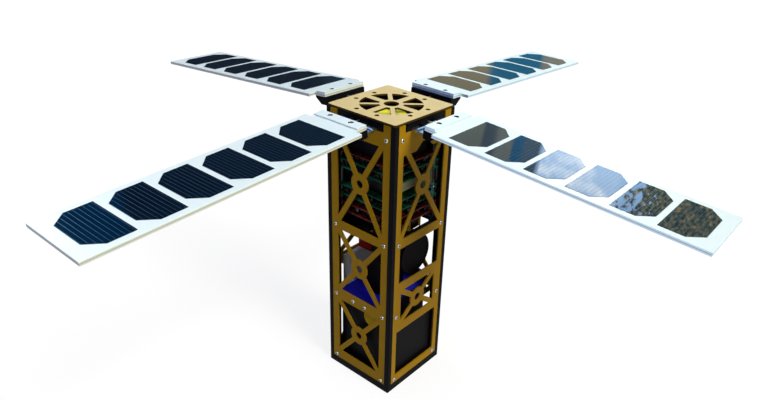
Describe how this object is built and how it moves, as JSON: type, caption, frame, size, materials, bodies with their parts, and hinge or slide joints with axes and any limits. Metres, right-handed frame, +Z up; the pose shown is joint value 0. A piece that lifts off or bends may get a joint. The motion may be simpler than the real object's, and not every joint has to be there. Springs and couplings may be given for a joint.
{
  "type": "small cube satellite with four folding solar panels",
  "caption": "Tall open-framed cube satellite with gold side plates, a board stack, a camera and hinged solar panels that fold out like petals.",
  "frame": {"origin": "centre of the base, on the plane that the corner rails stand on", "axes": "+Z up the body towards the top plate, +X out through the camera's window, -Y out through the front side plate"},
  "size_m": [0.7317, 0.732, 0.3525],
  "materials": {
    "black_anodised": "hard anodised, satin",
    "gold_side": "gold conversion coat, satin",
    "gold_top": "pale gold conversion coat, satin",
    "white_board": "white solder mask over glass laminate",
    "cell": "dark blue cell under cover glass",
    "steel": "bright",
    "black_plastic": "matt",
    "lens_black": "black barrel with a dark front",
    "board_green": "green solder mask",
    "board_maroon": "dark red solder mask",
    "blue_paint": "satin",
    "bare_aluminium": "brushed",
    "red_plastic": "matt",
    "yellow_film": "matt film",
    "brass": "bright",
    "beige_plastic": "matt"
  },
  "bodies": {
    "bus": {"rail_back_right": "black_anodised", "rail_back_left": "black_anodised", "rail_front_left": "black_anodised", "rail_front_right": "black_anodised", "bottom_frame": "black_anodised", "top_frame": "black_anodised", "mid_frame": "black_anodised", "cover_plates": "black_anodised", "side_plate_right": "gold_side", "hinge_bracket_right": "black_anodised", "side_plate_back": "gold_side", "hinge_bracket_back": "black_anodised", "side_plate_left": "gold_side", "hinge_bracket_left": "black_anodised", "side_plate_front": "gold_side", "hinge_bracket_front": "black_anodised", "top_plate": "gold_top", "bottom_plate": "gold_top", "board_1": "board_maroon", "board_2": "board_maroon", "board_3": "board_maroon", "board_4": "board_green", "board_5": "board_green", "board_6": "board_green", "board_7": "board_maroon", "stack_rods": "bare_aluminium", "payload_shelf": "blue_paint", "header_block": "beige_plastic", "stack_standoffs": "brass", "camera_body": "black_plastic", "camera_foot": "black_plastic", "top_module": "black_plastic", "top_disc": "yellow_film", "radiator_plate": "bare_aluminium", "red_module": "red_plastic", "base_module": "black_plastic", "battery_box": "black_plastic", "board_parts": "black_plastic", "lens_barrel": "lens_black", "yellow_boss": "yellow_film", "hinge_pins": "steel", "hinge_springs": "steel"},
    "wing_right": {"panel_right": "white_board", "solar_cells_right": "cell", "hinge_arm_right": "black_anodised", "hinge_leaf_right": "steel"},
    "wing_back": {"panel_back": "white_board", "solar_cells_back": "cell", "hinge_arm_back": "black_anodised", "hinge_leaf_back": "steel"},
    "wing_left": {"panel_left": "white_board", "solar_cells_left": "cell", "hinge_arm_left": "black_anodised", "hinge_leaf_left": "steel"},
    "wing_front": {"panel_front": "white_board", "solar_cells_front": "cell", "hinge_arm_front": "black_anodised", "hinge_leaf_front": "steel"}
  },
  "joints": [
    {"name": "hinge_right", "type": "hinge", "parent": "bus", "child": "wing_right", "pos_m": [0.0575, 0, 0.3402], "axis": [0, 1, 0], "range_deg": [0, 86.1], "stiffness_Nm_per_rad": 0.16, "springref_deg": -154.7},
    {"name": "hinge_back", "type": "hinge", "parent": "bus", "child": "wing_back", "pos_m": [0, 0.0575, 0.3402], "axis": [-1, 0, 0], "range_deg": [0, 88], "stiffness_Nm_per_rad": 0.16, "springref_deg": -154.7},
    {"name": "hinge_left", "type": "hinge", "parent": "bus", "child": "wing_left", "pos_m": [-0.0575, 0, 0.3402], "axis": [0, -1, 0], "range_deg": [0, 85.7], "stiffness_Nm_per_rad": 0.16, "springref_deg": -154.7},
    {"name": "hinge_front", "type": "hinge", "parent": "bus", "child": "wing_front", "pos_m": [0, -0.0575, 0.3402], "axis": [1, 0, 0], "range_deg": [0, 86], "stiffness_Nm_per_rad": 0.16, "springref_deg": -154.7}
  ]
}
